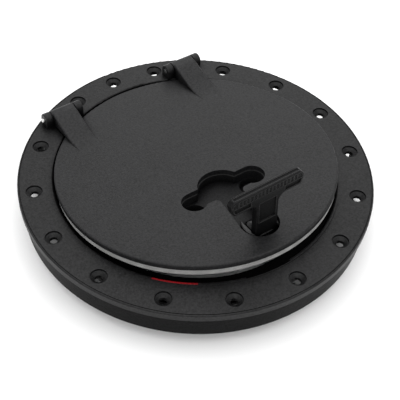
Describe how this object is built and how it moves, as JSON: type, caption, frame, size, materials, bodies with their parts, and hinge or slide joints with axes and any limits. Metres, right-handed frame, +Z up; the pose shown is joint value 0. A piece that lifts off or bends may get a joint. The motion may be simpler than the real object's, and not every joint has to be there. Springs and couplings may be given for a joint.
{
  "type": "deck hatch",
  "caption": "Round hinged deck hatch: bolted flange ring, gasketed lid standing ajar on a hinge, and a fold-down T handle in a pocket that turns a hook under the ring.",
  "frame": {"origin": "centre of the fixing screw circle and of the collar, at the deck surface the skirt stands on", "axes": "+Z up out of the deck along the screw circle's axis, +Y towards the hinges, -Y towards the latch, +X to the right seen from the latch side"},
  "size_m": [0.279, 0.279, 0.0966],
  "materials": {
    "frame_plastic": "fine moulded grain, dark grey",
    "lid_plastic": "fine moulded grain, dark grey",
    "tray_plastic": "smooth moulded, near black",
    "handle_plastic": "semi-gloss moulded, black",
    "hub_plastic": "gloss moulded, black",
    "lid_seal_rubber": "light grey sponge rubber",
    "seal_rubber": "black rubber",
    "stainless": "turned stainless steel",
    "bearing_plastic": "black acetal",
    "indicator_red": "red inlay"
  },
  "bodies": {
    "frame": {"frame_ring": "frame_plastic", "open_indicator": "indicator_red", "deck_gasket": "seal_rubber", "keeper_plate": "stainless", "keeper_screws": "stainless", "hinge_pin_left": "stainless", "hinge_pin_right": "stainless", "hinge_washers_left": "bearing_plastic", "hinge_washers_right": "bearing_plastic"},
    "lid": {"lid_cover": "lid_plastic", "lid_gasket": "lid_seal_rubber", "pocket_tray": "tray_plastic", "tray_gasket": "seal_rubber", "tray_screws": "stainless", "lid_inner_panel": "tray_plastic", "panel_screws": "stainless", "hinge_bush_left": "bearing_plastic", "hinge_bush_right": "bearing_plastic", "latch_yoke": "hub_plastic", "yoke_screws": "stainless", "latch_pin": "stainless", "wiper_seal": "seal_rubber"},
    "latch": {"latch_hub": "hub_plastic", "hub_bush": "bearing_plastic", "t_handle": "handle_plastic", "handle_roll_pin": "stainless", "latch_hook": "stainless", "hook_screws": "stainless"}
  },
  "joints": [
    {"name": "lid_hinge", "type": "hinge", "parent": "frame", "child": "lid", "pos_m": [0, 0.1093, 0.0316], "axis": [-1, 0, 0], "range_deg": [-4.8, 100]},
    {"name": "latch_lever", "type": "hinge", "parent": "lid", "child": "latch", "pos_m": [0, -0.08086, 0.0293], "axis": [-1, 0, 0], "range_deg": [0, 90]}
  ]
}
